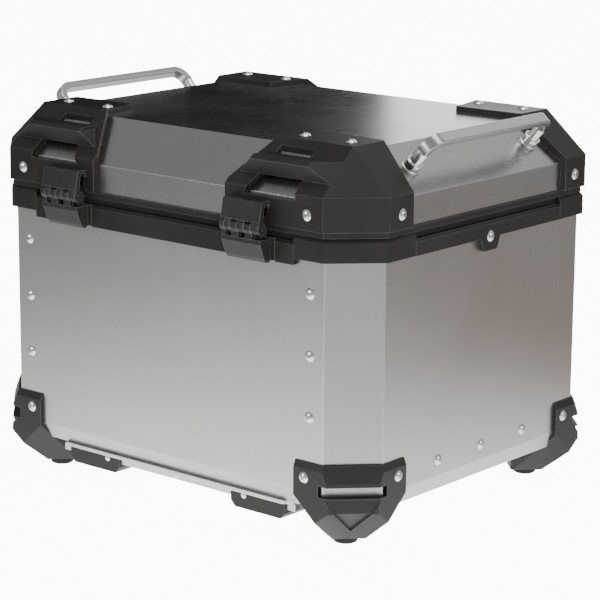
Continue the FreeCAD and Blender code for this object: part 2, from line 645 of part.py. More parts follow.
def base_parts():
    """The carrier tray under the floor, four shoes around its edge and four rubber feet."""
    x, y, c = size.tray_x, size.tray_y, size.tray_corner
    edge = prism("TrayEdge", "z", [
        (x, c - y), (x, y - c), (x - c, y), (c - x, y), (-x, y - c), (-x, c - y), (c - x, -y), (x - c, -y)],
        size.tray_edge_low, size.body_low)

    def lean(reach):
        return [(reach, size.tray_edge_low), (reach, size.tray_lean_z),
                (reach - size.tray_lean, size.tray_low), (size.tray_lean - reach, size.tray_low),
                (-reach, size.tray_lean_z), (-reach, size.tray_edge_low)]

    dish = common("TrayDish", prism("TrayLong", "y", lean(x - size.tray_step_x), -y, y),
                  prism("TrayCross", "x", lean(y - size.tray_step_y), -x, x))
    bosses = [rod(f"TrayBoss{index}", (at[0], at[1], size.tray_low), UP, size.boss_radius,
                  size.body_low - size.tray_low) for index, (at, out) in enumerate(bolt_places)]
    rail = size.tray_rail
    room_blank = box("TrayRoomBlank", (rail - x, rail - y, size.tray_low + size.tray_sheet),
                     (x - rail, y - rail, size.body_low))
    room = cut("TrayRoom", room_blank, *bosses)
    node("base_tray", cut("base_tray", fuse("TrayWhole", [edge, dish]), room, bolt_drills, tray_drills))
    shoes = []
    half, corner = size.shoe_half_x, size.shoe_corner
    for tag, at_x in (("Left", -size.shoe_x), ("Right", size.shoe_x)):
        outline_xz = [(at_x - half, size.tray_edge_low), (at_x - half, size.shoe_low + corner),
                      (at_x - half + corner, size.shoe_low), (at_x + half - corner, size.shoe_low),
                      (at_x + half, size.shoe_low + corner), (at_x + half, size.tray_edge_low)]
        for end, low, high in (("Front", -shoe_face, size.shoe_depth - shoe_face),
                               ("Rear", shoe_face - size.shoe_depth, shoe_face)):
            blank = prism(f"ShoeBlank{tag}{end}", "y", outline_xz, low, high)
            shoes.append(cut(f"Shoe{tag}{end}", blank, dish, tray_drills))
    node("mount_shoes", group("mount_shoes", shoes))
    feet = []
    for index, (a, b) in enumerate(((-1, -1), (1, -1), (-1, 1), (1, 1))):
        pad = rod(f"Foot{index}", (size.foot_x * a, size.foot_y * b, size.foot_edge), UP, size.foot_radius,
                  size.guard_low - size.foot_edge)
        toe = primitive("Part::Cone", f"FootToe{index}", Radius1=size.foot_radius - size.foot_edge,
                        Radius2=size.foot_radius, Height=size.foot_edge)
        place(toe, (size.foot_x * a, size.foot_y * b, 0))
        feet.append(fuse(f"FootWhole{index}", [pad, toe]))
    node("rubber_feet", group("rubber_feet", feet))


shoe_face = size.tray_y - size.tray_step_y + size.shoe_lip
tray_screw_places = [((0, -(size.tray_y - size.tray_step_y), size.tray_screw_z), FRONT),
                     ((-size.tray_screw_x, -shoe_face, size.tray_screw_z), FRONT),
                     ((size.tray_screw_x, -shoe_face, size.tray_screw_z), FRONT)]
tray_drills = drills("TrayDrills", tray_screw_places, HOLE, size.screw_reach)
four_corners("corner_protector", corner_protector())
fasteners("protector_rivets", LONG_RIVET, guard_rivet_places)
base_parts()
fasteners("base_tray_screws", SMALL_RIVET, tray_screw_places)


# ---------------------------------------------------------------- lid

lid_x = size.half_x + size.lid_grow
lid_y = size.half_y + size.lid_grow
lid_tip_x = lid_x - size.lid_inset
lid_tip_y = lid_y - size.lid_inset
lid_side = Slope(lid_x, size.lid_fold, lid_tip_x, size.lid_top)
lid_front = Slope(lid_y, size.lid_fold, lid_tip_y, size.lid_top)
lid_corner = Slope(corner_reach(size.lid_grow), size.lid_fold, (lid_tip_x + lid_tip_y) / ROOT_TWO,
                   size.lid_top)
lid_outer = hip_block("LidOuter", size.lid_grow, size.lid_low, size.lid_top, lid_side, lid_front, lid_corner)
skin = size.lid_sheet
lid_inner = hip_block("LidInner", size.lid_grow - skin, size.lid_low - MARGIN, size.lid_top - skin,
                      lid_side.inside(skin), lid_front.inside(skin), lid_corner.inside(skin))

# the sloped side of the lid carries the handles
side_run = size.lid_inset.number
side_rise = size.lid_top.number - size.lid_fold.number
lean = math.degrees(math.atan2(side_rise, side_run))
handle_turn = FreeCAD.Rotation(VECTOR(0, 1, 0), lean)
handle_out = handle_turn.multVec(VECTOR(0, 0, 1))
handle_seat = (lid_x - size.lid_inset / 2, dim(0), (size.lid_fold + size.lid_top) / 2)

cover_x = size.half_x + size.cover_grow
cover_y = size.half_y + size.cover_grow
cover_rivet_places = []
top_screw_places = []
for sign in (-1, 1):
    cover_rivet_places += wall_faces(size.cover_grow, size.cover_rivet_x * sign, size.cover_rivet_z)
    for way in (-1, 1):
        at = (cover_x * sign, size.cover_rivet_y * way, size.cover_rivet_z)
        cover_rivet_places.append((at, RIGHT if sign > 0 else LEFT))
        for x in (size.top_screw_in, size.top_screw_out):
            top_screw_places.append(((x * sign, size.top_screw_y * way, size.cover_top), UP))
cover_drills = drills("CoverDrills", cover_rivet_places, HOLE, size.screw_reach)
top_drills = drills("TopDrills", top_screw_places, HOLE, size.screw_reach)


def stud_drills():
    """Holes for the four handle studs in the sloped sides of the lid."""
    cutters = []
    for sign in (-1, 1):
        for way in (-1, 1):
            start = (handle_seat[0] * sign + handle_out.x * sign * 3, size.handle_y * way,
                     handle_seat[2] + handle_out.z * 3)
            cutters.append(rod(f"StudDrill{sign}{way}".replace("-", "n"), start,
                               (-handle_out.x * sign, 0, -handle_out.z),
                               size.stud_radius + size.drill_gap, size.stud_reach + 3))
    return group("StudDrills", cutters)


def lid_parts():
    node("lid_shell", cut("lid_shell", lid_outer, lid_inner, cover_drills, top_drills, lid_leaf_drills,
                          stud_drills()))
    flat = octagon_ring("FrameFlat", size.frame_out, -size.frame_in, size.frame_low, size.lid_low)
    inner = size.lid_grow - skin
    tongue = octagon_ring("FrameTongue", inner, inner - size.tongue_thick, size.lid_low - 0.5,
                          size.tongue_top)
    node("lid_frame", cut("lid_frame", fuse("FrameWhole", [flat, tongue]), cover_drills))
    node("lid_seal", octagon_ring("lid_seal", size.seal_out, size.seal_in, size.seal_low, size.frame_low))


def corner_covers():
    """Moulded covers on the four corners of the lid; the front two have a window and a hood."""
    tip_x = cover_x - size.cover_inset
    tip_y = cover_y - size.cover_inset
    cover_corner = Slope(corner_reach(size.cover_grow), size.cover_fold, (tip_x + tip_y) / ROOT_TWO,
                         size.cover_top)
    outer = hip_block("CoverOuter", size.cover_grow, size.cover_low, size.cover_top,
                      Slope(cover_x, size.cover_fold, tip_x, size.cover_top),
                      Slope(cover_y, size.cover_fold, tip_y, size.cover_top), cover_corner)
    plan = [(size.cover_top_x, -size.cover_top_y), (size.cover_fold_x, -lid_tip_y),
            (size.cover_front_x, -lid_y), (size.cover_front_x, -cover_y - 1), (cover_x + 1, -cover_y - 1),
            (cover_x + 1, -size.cover_side_y), (lid_tip_x, -size.cover_top_y - 2)]
    region = prism("CoverRegion", "z", plan, size.cover_low - 1, size.cover_top + 1)
    plain = common("CoverPlain", cut("CoverShell", outer, lid_outer), region)
    plain_drilled = cut("CoverDrilled", plain, cover_drills, top_drills)
    front = cut("front_right_cover", fuse("CoverHooded", [plain, hood(cover_corner)]), window(),
                upper_window(), keeper_pocket(), cover_drills, top_drills)
    node("front_right_cover", front)
    node("front_left_cover", mirrored("front_left_cover", front, RIGHT))
    node("rear_right_cover", mirrored("rear_right_cover", plain_drilled, REAR))
    node("rear_left_cover", mirrored("rear_left_cover", nodes["rear_right_cover"], RIGHT))


def window():
    """The opening over the front fold of the lid."""
    return prism("CoverWindow", "y", [
        (size.window_in, size.window_low), (size.window_out, size.window_low),
        (size.window_out - size.window_slant_out, size.window_high),
        (size.window_in + size.window_slant_in, size.window_high)],
        -cover_y - MARGIN, size.window_depth - cover_y)


def upper_window():
    return box("UpperWindow", (size.inlay_in, -size.inlay_y_out, size.lid_top - size.inlay_room),
               (size.inlay_out, -size.inlay_y_in, size.cover_top + MARGIN))


def hood(facet):
    """A visor over the window; its outer end is cut level with the corner facet."""
    nose = -size.hood_nose_y
    shape = prism("HoodProfile", "x", [
        (nose + size.hood_depth, size.hood_top), (nose + size.hood_round, size.hood_top),
        (nose, size.hood_top - size.hood_lip), (nose + size.hood_round, size.window_high),
        (nose + size.hood_under, size.window_high), (nose + size.hood_root, size.hood_top - size.hood_round)],
        size.hood_foot_in, size.hood_foot_out)
    pocket(shape, "y", facet.waste(), size.half_x * 2, 45.0)
    pocket(shape, "y", facet.waste(), size.half_x * 2, -45.0)
    ends = prism("HoodEnds", "y", [
        (size.hood_foot_in, size.window_high - 1), (size.hood_foot_out, size.window_high - 1),
        (size.hood_foot_out, size.hood_top + 1), (size.hood_in, size.hood_top + 1),
        (size.hood_in, size.hood_top - size.hood_lip)], nose - 1, nose + size.hood_root)
    return common("Hood", shape, ends)


def keeper_pocket():
    return box("KeeperPocket", (size.latch_x - size.keeper_half, -cover_y - 1, size.keeper_low),
               (size.latch_x + size.keeper_half, -(size.half_y + size.keeper_floor), size.keeper_high))


def lid_trim():
    """Keeper plates under the latch hooks, and ribbed strips on the lid behind the upper windows."""
    keepers = [box(f"Keeper{tag}", (x - size.keeper_half, -(size.half_y + size.keeper_floor + 1.8),
                                    size.keeper_low),
                   (x + size.keeper_half, -(size.half_y + size.keeper_floor), size.keeper_high))
               for tag, x in (("Left", -size.latch_x), ("Right", size.latch_x))]
    node("latch_keepers", group("latch_keepers", keepers))
    fall = (size.lid_top - size.lid_fold) / size.lid_inset
    high = size.lid_top - (size.inlay_y_in - lid_tip_y) * fall
    low = size.lid_top - (size.inlay_y_out - lid_tip_y) * fall
    profile = [(-size.inlay_y_in, high), (-size.inlay_y_in, high + size.inlay_thick),
               (-size.inlay_y_out, low + size.inlay_thick), (-size.inlay_y_out, low)]
    strips = [prism("InlayRight", "x", profile, size.inlay_in, size.inlay_out),
              prism("InlayLeft", "x", profile, -size.inlay_out, -size.inlay_in)]
    node("ribbed_inlays", group("ribbed_inlays", strips))


lid_parts()
corner_covers()
lid_trim()
fasteners("cover_rivets", LONG_RIVET, cover_rivet_places)
fasteners("cover_top_screws", LONG_RIVET, top_screw_places)


# ---------------------------------------------------------------- handles

def on_slope(thing):
    """Move a piece made about the origin on to the right hand slope of the lid."""
    return place(thing, handle_seat, handle_turn)


def handle_bar():
    """A flat bar bent down at both ends; Z is the height above the slope."""
    half_wide = size.bar_wide / 2
    half_thick = size.bar_thick / 2
    pieces = [box("BarTop", (-half_wide, size.bar_bend - size.handle_y, size.handle_rise - half_thick),
                  (half_wide, size.handle_y - size.bar_bend, size.handle_rise + half_thick))]
    bend_z = size.handle_rise - size.bar_bend
    for way, start_angle in ((-1, 90), (1, 0)):
        tag = "Near" if way < 0 else "Far"
        at_y = size.handle_y * way
        pieces.append(box(f"BarLeg{tag}", (-half_wide, at_y - half_thick, size.leg_low),
                          (half_wide, at_y + half_thick, bend_z)))
        turn = FreeCAD.Rotation(VECTOR(0, 0, 1), VECTOR(1, 0, 0))
        turn = turn * FreeCAD.Rotation(VECTOR(0, 0, 1), 90 + start_angle if way < 0 else 90)
        quarter = []
        for kind, radius in (("Out", size.bar_bend + half_thick), ("In", size.bar_bend - half_thick)):
            arc = primitive("Part::Cylinder", f"Bend{kind}{tag}", Radius=radius, Height=size.bar_wide)
            arc.Angle = 90
            quarter.append(place(arc, (-half_wide, at_y - size.bar_bend * way, bend_z), turn))
        pieces.append(cut(f"Bend{tag}", *quarter))
    return on_slope(fuse("right_handle_bar", pieces))


def handle_mounts():
    """Turned standoffs with a stud through the lid, and a nut inside for each."""
    standoffs = []
    nuts = []
    for way in (-1, 1):
        tag = "Near" if way < 0 else "Far"
        at_y = size.handle_y * way
        standoffs.append(on_slope(fuse(f"Standoff{tag}", [
            rod(f"Ring{tag}", (0, at_y, 0), UP, size.ring_radius, size.ring_rise),
            rod(f"Collar{tag}", (0, at_y, 0), UP, size.collar_radius, size.collar_rise),
            rod(f"Neck{tag}", (0, at_y, 0), UP, size.neck_radius, size.leg_low),
            rod(f"Stud{tag}", (0, at_y, -size.stud_reach), UP, size.stud_radius, size.stud_reach + 1)])))
        nuts.append(on_slope(cut(f"Nut{tag}",
                                 rod(f"NutBlank{tag}", (0, at_y, -skin - size.nut_rise), UP, size.nut_radius,
                                     size.nut_rise),
                                 rod(f"NutBore{tag}", (0, at_y, -20), UP,
                                     size.stud_radius + size.drill_gap, 30))))
    for name, right in (("handle_standoffs", standoffs), ("handle_nuts", nuts)):
        left = [mirrored(f"{name}_left_{index}", piece, RIGHT) for index, piece in enumerate(right)]
        node(name, group(name, right + left))


both_sides("handle_bar", handle_bar)
handle_mounts()


# ---------------------------------------------------------------- draw latches

def latch(side, centre):
    """One draw latch: base plate with ears, lever, hook and two pins; p is the depth out of the wall."""
    def front(p):
        return -(size.half_y + p)

    def yz(points):
        return [(front(p), z) for p, z in points]

    def across(low, high):
        return centre + low, centre + high

    def bore(tag, p, z, gap):
        return rod(f"{side}{tag}", (centre - 30, front(p), z), RIGHT, size.pin_radius + gap, 60)

    pivot = (size.pivot_out, size.pivot_z)
    barrel = (size.barrel_out, size.barrel_z)
    gap = size.knuckle_gap

    # base plate and ears
    plate = box(f"{side}Plate", (centre - size.plate_half, front(size.plate_out), size.plate_low),
                (centre + size.plate_half, front(size.pocket_floor), size.plate_top))
    base_parts_list = [plate]
    for tag, low, high in (("Left", -size.ear_out, -size.ear_in), ("Right", size.ear_in, size.ear_out)):
        x_low, x_high = across(low, high)
        base_parts_list.append(box(f"{side}Ear{tag}", (x_low, front(size.pivot_out + size.ear_radius),
                                    size.ear_low),
                                   (x_high, front(size.pocket_floor + 0.6), size.pivot_z)))
        base_parts_list.append(rod(f"{side}EarRound{tag}", (x_low, front(pivot[0]), pivot[1]), RIGHT,
                                   size.ear_radius, high - low))
    base = cut(f"{side}_latch_base", fuse(f"{side}BaseBlank", base_parts_list),
               bore("BaseBore", *pivot, size.pin_gap), latch_drills)
    node(f"{side}_latch_base", base)
    node(f"{side}_latch_base_pin",
         rod(f"{side}_latch_base_pin", (centre - size.ear_out, front(pivot[0]), pivot[1]), RIGHT,
             size.pin_radius, size.ear_out * 2))

    # lever: a hollow block hung from the hub, with three knuckles for the hook pin
    block = prism(f"{side}LeverBlock", "x", yz([
        (size.lever_back, size.lever_low + size.lever_heel),
        (size.lever_back + size.lever_heel, size.lever_low), (size.lever_toe_out, size.lever_low),
        (size.lever_chin_out, size.lever_chin_z), (size.lever_face, size.lever_brow_z),
        (size.lever_face, size.lever_top),
        (size.lever_back, size.lever_top)]), *across(-size.latch_half, size.latch_half))
    hollow = prism(f"{side}LeverHollow", "x", yz([
        (size.lever_back - 1, size.hollow_low), (size.hollow_toe_out, size.hollow_low),
        (size.hollow_out, size.lever_brow_z), (size.hollow_out, size.lever_top + 1),
        (size.lever_back - 1, size.lever_top + 1)]),
        *across(size.lever_wall - size.latch_half, size.latch_half - size.lever_wall))
    lever = [cut(f"{side}LeverShell", block, hollow),
             rod(f"{side}Hub", (centre - size.hub_half, front(pivot[0]), pivot[1]), RIGHT, size.ear_radius,
                 size.hub_half * 2)]
    lever_spans = ((-size.latch_half, size.knuckle_1), (size.knuckle_2, size.knuckle_3),
                   (size.knuckle_4, size.knuckle_5))
    for index, (low, high) in enumerate(lever_spans):
        x_low, x_high = across(low + (gap if index else 0), high - gap)
        lever.append(rod(f"{side}LeverKnuckle{index}", (x_low, front(barrel[0]), barrel[1]), RIGHT,
                         size.barrel_radius, x_high - x_low))
        lever.append(box(f"{side}LeverWeb{index}", (x_low, front(size.web_out), size.lever_top - 1),
                         (x_high, front(size.web_in), size.barrel_z)))
    for tag, low, high in (("Left", -size.hub_half, size.bar_gap_left),
                           ("Right", size.bar_gap_right, size.hub_half)):
        x_low, x_high = across(low, high)
        lever.append(box(f"{side}Arm{tag}", (x_low, front(size.barrel_out), size.bar_low),
                         (x_high, front(size.pivot_out), size.bar_high)))
    node(f"{side}_latch_lever",
         cut(f"{side}_latch_lever", fuse(f"{side}LeverBlank", lever),
             bore("LeverPivotBore", *pivot, size.pin_gap), bore("LeverBarrelBore", *barrel, size.pin_gap)))

    # hook: a bent plate over the front of the cover, with three knuckles between those of the lever
    top, low_edge = size.hook_top, size.hook_low
    plate = prism(f"{side}HookPlate", "x", yz([
        (size.hook_tip, top), (size.hook_front, top),
        (size.hook_front + size.hook_round, top - size.hook_round),
        (size.hook_knee, low_edge), (size.hook_back, low_edge), (size.hook_inner, top - size.hook_sheet),
        (size.hook_tip + size.hook_lip, top - size.hook_sheet),
        (size.hook_tip + size.hook_lip, size.hook_lip_low),
        (size.hook_tip, size.hook_lip_low)]), *across(-size.latch_half, size.latch_half))
    hook = [plate]
    hook_spans = ((size.knuckle_1, size.knuckle_2), (size.knuckle_3, size.knuckle_4),
                  (size.knuckle_5, size.latch_half))
    for index, (low, high) in enumerate(hook_spans):
        x_low, x_high = across(low + gap, high - (gap if index < 2 else 0))
        hook.append(rod(f"{side}HookKnuckle{index}", (x_low, front(barrel[0]), barrel[1]), RIGHT,
                        size.barrel_radius, x_high - x_low))
        hook.append(box(f"{side}HookWeb{index}", (x_low, front(size.hook_knee), size.barrel_z),
                        (x_high, front(size.hook_back), low_edge + 0.5)))
    node(f"{side}_latch_hook", cut(f"{side}_latch_hook", fuse(f"{side}HookBlank", hook),
                                   bore("HookBore", *barrel, size.pin_gap)))
    node(f"{side}_latch_hook_pin",
         rod(f"{side}_latch_hook_pin", (centre - size.latch_half, front(barrel[0]), barrel[1]), RIGHT,
             size.pin_radius, size.latch_half * 2))


latch("left", -size.latch_x)
latch("right", size.latch_x)
fasteners("latch_base_rivets", SMALL_RIVET, latch_rivet_places)


# ---------------------------------------------------------------- hinges

def hinges():
    """Two cast butt hinges; the pin stands as far behind the case as the latches stand in front."""
    axis_y = size.half_y + size.barrel_out + size.barrel_radius - size.hinge_radius
    wrap = size.knuckle_wrap
    body_leaves, lid_leaves, pins = [], [], []
    for tag, centre in (("Left", -size.hinge_x), ("Right", size.hinge_x)):
        low, high = centre - size.hinge_half, centre + size.hinge_half
        bore = rod(f"HingeBore{tag}", (low - 5, axis_y, size.hinge_z), RIGHT, size.hinge_pin + size.pin_gap,
                   size.hinge_half * 2 + 10)
        body = [box(f"BodyLeaf{tag}", (low, leaf_back, size.leaf_low), (high, leaf_face, size.leaf_shoulder))]
        for end, x_low, x_high in (("A", low, centre - size.hinge_middle - 0.2),
                                   ("B", centre + size.hinge_middle + 0.2, high)):
            body.append(prism(f"BodyWeb{tag}{end}", "x", [
                (leaf_back, size.leaf_web_low), (leaf_back, size.leaf_shoulder),
                (axis_y - wrap, size.hinge_z + 2),
                (axis_y, size.hinge_z), (axis_y, size.hinge_z - wrap), (leaf_face + 1, size.leaf_web_foot)],
                x_low, x_high))
            body.append(rod(f"BodyKnuckle{tag}{end}", (x_low, axis_y, size.hinge_z), RIGHT,
                            size.hinge_radius, x_high - x_low))
        body_leaves.append(cut(f"BodyHinge{tag}", fuse(f"BodyHingeBlank{tag}", body), bore, hinge_drills))
        lid = [box(f"LidLeaf{tag}", (low, lid_y, size.lid_leaf_low), (high, leaf_face, size.leaf_top)),
               prism(f"LidWeb{tag}", "x", [
                   (leaf_face - 1, size.lid_web_low), (leaf_face - 1, size.lid_web_high),
                   (leaf_face + 1, size.lid_web_high),
                   (axis_y, size.hinge_z + size.hinge_radius), (axis_y, size.hinge_z),
                   (axis_y - wrap, size.hinge_z + 1)],
                     centre - size.hinge_middle, centre + size.hinge_middle),
               rod(f"LidKnuckle{tag}", (centre - size.hinge_middle, axis_y, size.hinge_z), RIGHT,
                   size.hinge_radius, size.hinge_middle * 2)]
        lid_leaves.append(cut(f"LidHinge{tag}", fuse(f"LidHingeBlank{tag}", lid), bore, lid_leaf_drills))
        pins.append(rod(f"HingePin{tag}", (low, axis_y, size.hinge_z), RIGHT, size.hinge_pin,
                        size.hinge_half * 2))
    node("hinge_body_leaves", group("hinge_body_leaves", body_leaves))
    node("hinge_lid_leaves", group("hinge_lid_leaves", lid_leaves))
    node("hinge_pins", group("hinge_pins", pins))


hinges()
fasteners("hinge_body_rivets", SMALL_RIVET, hinge_rivet_places)
fasteners("hinge_lid_rivets", SMALL_RIVET, lid_leaf_places)


# ---------------------------------------------------------------- check and write

doc.recompute()
for item in doc.Objects:
    if "Invalid" in item.State or "Error" in item.State:
        raise RuntimeError(f"{item.Name} failed: {item.State}")
os.makedirs("parts", exist_ok=True)
for name, piece in sorted(nodes.items()):
    shape = piece.Shape
    if shape.isNull() or not shape.isValid() or not shape.Solids:
        raise RuntimeError(f"{name} has no valid solid")
    shape.exportStep(f"parts/{name}.step")
    print(f"{name}: {len(shape.Solids)} solids, {shape.Volume / 1000:.1f} cm3")
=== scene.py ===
import json
import math

import bpy
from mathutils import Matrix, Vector


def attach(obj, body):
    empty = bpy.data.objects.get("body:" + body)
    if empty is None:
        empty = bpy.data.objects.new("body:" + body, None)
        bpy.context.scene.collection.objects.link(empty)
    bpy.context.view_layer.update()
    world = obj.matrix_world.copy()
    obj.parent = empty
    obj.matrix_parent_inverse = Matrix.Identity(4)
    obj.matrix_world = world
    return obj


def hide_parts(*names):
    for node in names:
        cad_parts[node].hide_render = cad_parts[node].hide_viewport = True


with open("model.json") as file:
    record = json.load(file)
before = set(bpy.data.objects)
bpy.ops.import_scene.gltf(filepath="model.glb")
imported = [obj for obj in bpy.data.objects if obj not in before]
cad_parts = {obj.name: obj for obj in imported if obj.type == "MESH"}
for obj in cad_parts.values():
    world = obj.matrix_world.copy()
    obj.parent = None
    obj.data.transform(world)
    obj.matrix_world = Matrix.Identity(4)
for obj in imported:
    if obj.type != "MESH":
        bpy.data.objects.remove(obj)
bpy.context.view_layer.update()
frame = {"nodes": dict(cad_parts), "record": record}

MM = 0.001
record = frame["record"]


def mesh_object(name, points, faces, material):
    """A new object with one material."""
    mesh = bpy.data.meshes.new(name)
    mesh.from_pydata(points, [], faces)
    mesh.materials.append(material)
    thing = bpy.data.objects.new(name, mesh)
    bpy.context.scene.collection.objects.link(thing)
    return thing


# ---------------------------------------------------------------- camera

CAMERA_LENS = 142.4          # mm
CAMERA_SENSOR = 36           # mm
CAMERA_AZIMUTH = math.radians(40.2)
CAMERA_ELEVATION = math.radians(13.3)
CAMERA_ROLL = math.radians(0.4)
CAMERA_DISTANCE = 2.1246
CAMERA_ASIDE = 0.006         # the aim, right of the middle
CAMERA_AIM_HEIGHT = 0.1555


def make_camera():
    """Look at the near right corner from the front, a little above the lid."""
    az, el = CAMERA_AZIMUTH, CAMERA_ELEVATION
    back = Vector((math.sin(az) * math.cos(el), -math.cos(az) * math.cos(el), math.sin(el)))
    right = Vector((math.cos(az), math.sin(az), 0))
    up = back.cross(right)
    place = right * CAMERA_ASIDE + Vector((0, 0, CAMERA_AIM_HEIGHT)) + back * CAMERA_DISTANCE
    cam_x = right * math.cos(CAMERA_ROLL) + up * math.sin(CAMERA_ROLL)
    cam_y = up * math.cos(CAMERA_ROLL) - right * math.sin(CAMERA_ROLL)
    data = bpy.data.cameras.new("camera")
    data.lens = CAMERA_LENS
    data.sensor_width = CAMERA_SENSOR
    camera = bpy.data.objects.new("camera", data)
    bpy.context.scene.collection.objects.link(camera)
    for row in range(3):
        for column, axis in enumerate((cam_x, cam_y, back, place)):
            camera.matrix_world[row][column] = axis[row]
    bpy.context.scene.camera = camera


# ---------------------------------------------------------------- materials

BEVEL_SAMPLES = 6
EDGE_TURN = 0.06             # how far the rounded normal turns before a point counts as edge
PLASTIC_SHINE = 0.3          # specular level of the dark plastics
EDGE_HIGHLIGHT_GAIN = 1.7              # painted highlight: how much lighter the metal edges are than the faces
# the painted edge highlight is never lighter than this tone
FULL_TONE = 0.95


def node_of(tree, kind, **values):
    """A shader node, with inputs given by their names."""
    made = tree.nodes.new(kind)
    for name, value in values.items():
        made.inputs[name.replace("_", " ")].default_value = value
    return made


def surface(name, base, metallic, roughness):
    """A principled material; returns it with its tree and shader."""
    material = bpy.data.materials.new(name)
    material.use_nodes = True
    shader = material.node_tree.nodes["Principled BSDF"]
    shader.inputs["Metallic"].default_value = metallic
    shader.inputs["Roughness"].default_value = roughness
    shader.inputs["Base Color"].default_value = (*base, 1)
    return material, material.node_tree, shader


def grain(tree, stretch, scale, detail=4.0):
    """Noise in object space, stretched along the axes; returns its value socket."""
    coords = tree.nodes.new("ShaderNodeTexCoord")
    mapping = tree.nodes.new("ShaderNodeMapping")
    mapping.inputs["Scale"].default_value = stretch
    noise = node_of(tree, "ShaderNodeTexNoise", Scale=scale, Detail=detail, Roughness=0.6)
    tree.links.new(coords.outputs["Object"], mapping.inputs["Vector"])
    tree.links.new(mapping.outputs["Vector"], noise.inputs["Vector"])
    return noise.outputs["Fac"]


def ranged(tree, value, low, high, spread=0.25):
    """Map noise about 0.5 to a range."""
    mapped = node_of(tree, "ShaderNodeMapRange")
    for index, number in enumerate((0.5 - spread, 0.5 + spread, low, high), start=1):
        mapped.inputs[index].default_value = number
    tree.links.new(value, mapped.inputs[0])
    return mapped.outputs[0]


def tint(tree, value, dark, light):
    """Blend two colours by a value."""
    ramp = tree.nodes.new("ShaderNodeValToRGB")
    ramp.color_ramp.elements[0].position = 0.3
    ramp.color_ramp.elements[1].position = 0.7
    ramp.color_ramp.elements[0].color = (*dark, 1)
    ramp.color_ramp.elements[1].color = (*light, 1)
    tree.links.new(value, ramp.inputs["Fac"])
    return ramp.outputs["Color"]


def rounded_normal(tree, radius):
    """The surface normal, as if the edges were rounded to a radius."""
    rounded = tree.nodes.new("ShaderNodeBevel")
    rounded.samples = BEVEL_SAMPLES
    rounded.inputs["Radius"].default_value = radius
    return rounded.outputs["Normal"]


def bump(tree, shader, value, strength, distance, edge=0.0):
    """Relief from a value, over edges that look rounded to a radius."""
    relief = node_of(tree, "ShaderNodeBump", Strength=strength, Distance=distance)
    tree.links.new(value, relief.inputs["Height"])
    if edge:
        tree.links.new(rounded_normal(tree, edge), relief.inputs["Normal"])
    tree.links.new(relief.outputs["Normal"], shader.inputs["Normal"])


def edge_highlight_mask(tree, radius):
    """Near 1 on edges and 0 on flat faces: how far a rounded normal turns from the plain one; it places the
    painted edge highlights.
    """
    plain = tree.nodes.new("ShaderNodeNewGeometry")
    facing = tree.nodes.new("ShaderNodeVectorMath")
    facing.operation = "DOT_PRODUCT"
    tree.links.new(rounded_normal(tree, radius), facing.inputs[0])
    tree.links.new(plain.outputs["True Normal"], facing.inputs[1])
    mapped = node_of(tree, "ShaderNodeMapRange")
    for index, number in enumerate((1 - EDGE_TURN / 6, 1 - EDGE_TURN, 0.0, 1.0), start=1):
        mapped.inputs[index].default_value = number
    tree.links.new(facing.outputs["Value"], mapped.inputs[0])
    return mapped.outputs[0]


def blend(tree, mask, colour, highlight_colour):
    """Paint a lighter edge colour over a colour by a mask: a painted highlight."""
    mix = tree.nodes.new("ShaderNodeMix")
    mix.data_type = "RGBA"
    tree.links.new(mask, mix.inputs["Factor"])
    tree.links.new(colour, mix.inputs[6])
    mix.inputs[7].default_value = (*highlight_colour, 1)
    return mix.outputs[2]


def grey(tone, warmth=0.0):
    """A grey, moved a little towards red by its warmth."""
    return (tone * (1 + warmth), tone, tone * (1 - warmth))


def brushed_metal(name, tone, stretch, roughness, warmth=0.0, variation=0.05, edge=0.0):
    """Metal with long fine brush lines, uneven sheen, faint clouding and, given an edge radius, a painted
    highlight along its edges.
    """
    material, tree, shader = surface(name, grey(tone, warmth), 1.0, roughness)
    lines = grain(tree, stretch, 1.0, 6.0)
    clouds = grain(tree, (9, 9, 9), 1.0, 3.0)
    colour = tint(tree, lines, grey(tone * (1 - variation), warmth), grey(tone * (1 + variation), warmth))
    # painted highlight: the edges get a lighter colour, by how far a rounded normal turns there
    if edge:
        colour = blend(tree, edge_highlight_mask(tree, edge), colour, grey(min(FULL_TONE, tone * EDGE_HIGHLIGHT_GAIN), warmth))
    tree.links.new(colour, shader.inputs["Base Color"])
    sheen = tree.nodes.new("ShaderNodeMath")
    sheen.operation = "ADD"
    tree.links.new(ranged(tree, lines, roughness * 0.92, roughness * 1.1), sheen.inputs[0])
    tree.links.new(ranged(tree, clouds, -0.03, 0.03), sheen.inputs[1])
    tree.links.new(sheen.outputs[0], shader.inputs["Roughness"])
    bump(tree, shader, lines, 0.02, 0.03 * MM, edge)
    return material


def ribbed_metal(name, tone, pitch):
    """Metal pressed into narrow ribs that cross the strip, with painted shade in the troughs."""
    material, tree, shader = surface(name, grey(tone), 1.0, 0.35)
    coords = tree.nodes.new("ShaderNodeTexCoord")
    waves = node_of(tree, "ShaderNodeTexWave", Scale=math.pi / pitch / 10)
    waves.bands_direction = "X"
    tree.links.new(coords.outputs["Object"], waves.inputs["Vector"])
    # painted shade: the colour drops to 15% of the tone in the troughs, following the same waves as the
    # relief
    colour = tint(tree, waves.outputs["Fac"], grey(tone * 0.15), grey(tone))
    tree.links.new(colour, shader.inputs["Base Color"])
    bump(tree, shader, waves.outputs["Fac"], 0.8, MM)
    return material


